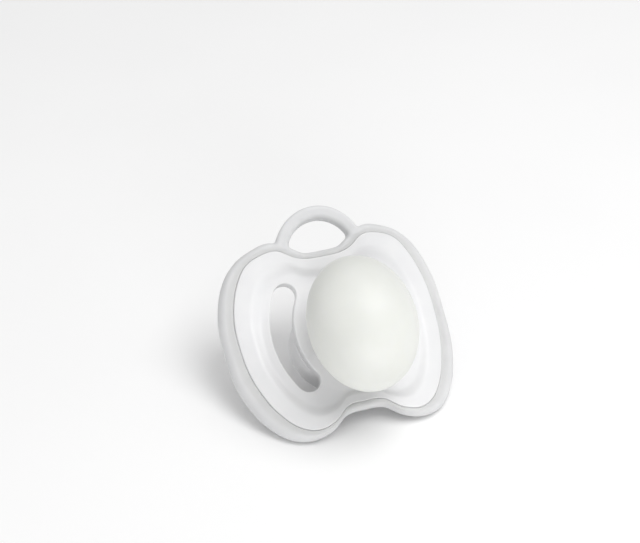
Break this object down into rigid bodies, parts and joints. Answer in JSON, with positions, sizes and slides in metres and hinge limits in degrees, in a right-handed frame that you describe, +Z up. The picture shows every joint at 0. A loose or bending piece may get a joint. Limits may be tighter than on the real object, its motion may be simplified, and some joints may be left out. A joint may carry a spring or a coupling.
{
  "type": "pacifier",
  "caption": "Baby's pacifier: two-lobed vented shield with a soft rim and carry loop, a hollow oval bulb teat and a round back button.",
  "frame": {"origin": "centre of the bounding box on the floor the pacifier stands on: Z=0 is the plane under the two lower lobes and the back button's edge, X=0 is the mirror plane, Y=0 is the middle of the depth", "axes": "+X runs across the shield, from the viewer's left to right when the teat faces the viewer. -Y is the side the teat points to. +Z is up. The shield leans back 53.8 degrees from upright, so the teat points forward and up"},
  "size_m": [0.047, 0.0436, 0.0344],
  "materials": {
    "shield_white": "satin white moulded polypropylene",
    "rim_silicone": "translucent pale grey soft silicone, satin",
    "teat_silicone": "milky ivory-green silicone, smooth satin",
    "plug_white": "plain white moulded polypropylene",
    "button_white": "satin white moulded polypropylene"
  },
  "bodies": {
    "root": {"shield_plate": "shield_white", "soft_rim": "rim_silicone", "teat": "teat_silicone", "locking_plug": "plug_white", "back_button": "button_white"}
  },
  "joints": []
}
